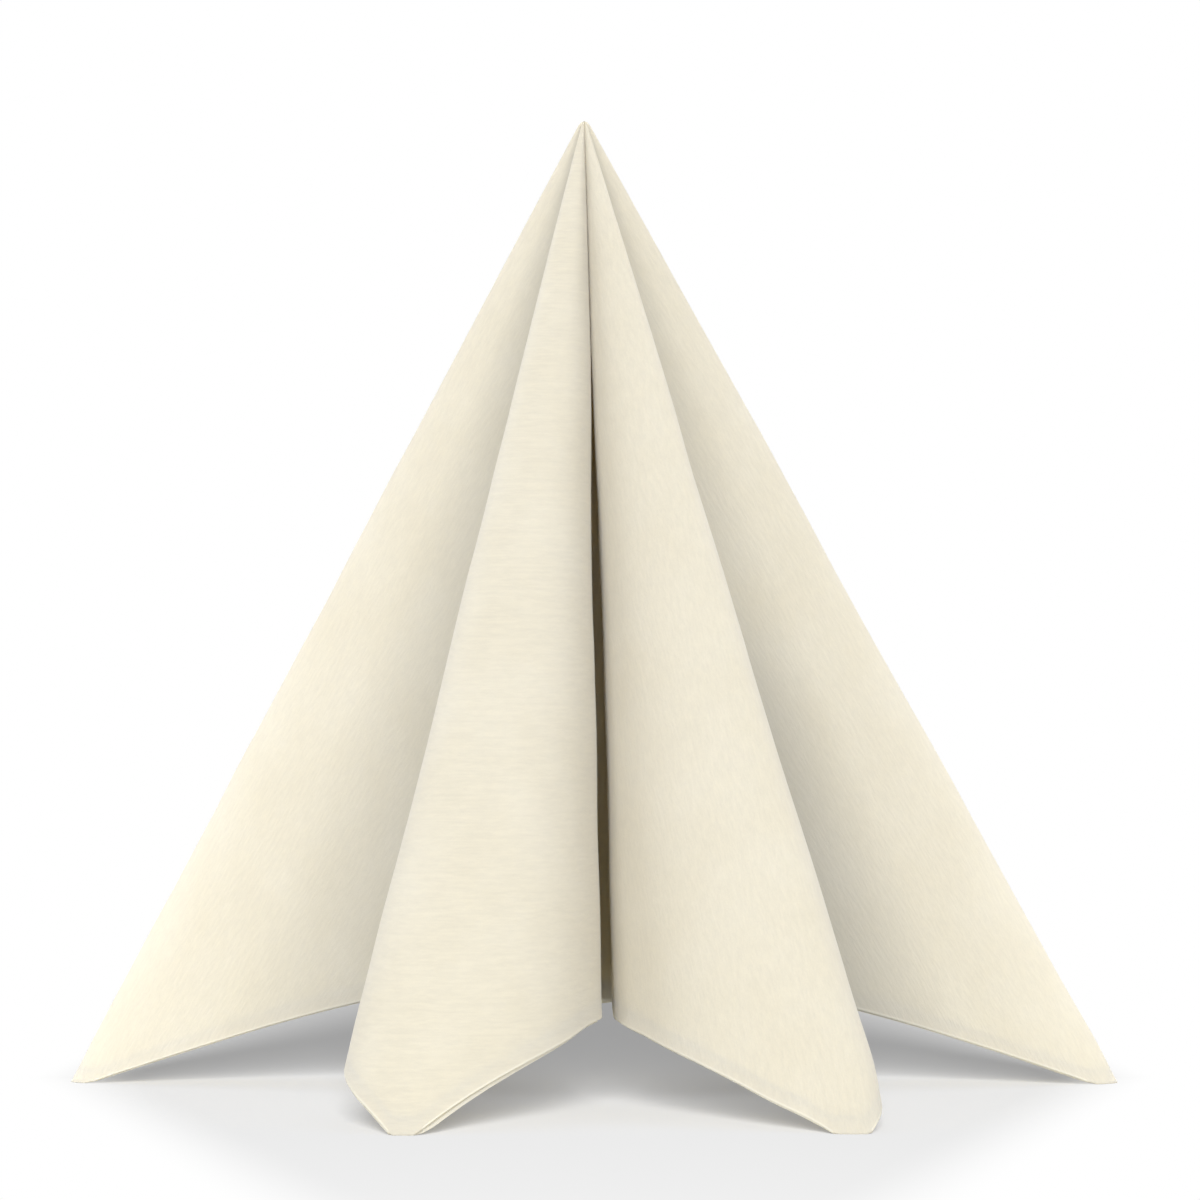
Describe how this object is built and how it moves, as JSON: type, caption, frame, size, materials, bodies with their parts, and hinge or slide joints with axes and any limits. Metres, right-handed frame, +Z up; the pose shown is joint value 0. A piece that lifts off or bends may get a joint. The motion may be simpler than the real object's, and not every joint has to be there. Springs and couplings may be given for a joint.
{
  "type": "paper napkin",
  "caption": "Square paper napkin folded into a standing pyramid, with rounded hollow legs that meet in a point, for setting at a place on a table.",
  "frame": {"origin": "middle of the footprint on the floor the napkin stands on", "axes": "+Z up to the point, -Y to the front where the narrow slit between two legs shows, +X to the right as seen from the front"},
  "size_m": [0.2552, 0.2684, 0.2235],
  "materials": {
    "paper": "soft matt cream tissue, finely creped"
  },
  "bodies": {
    "root": {"napkin": "paper"}
  },
  "joints": []
}
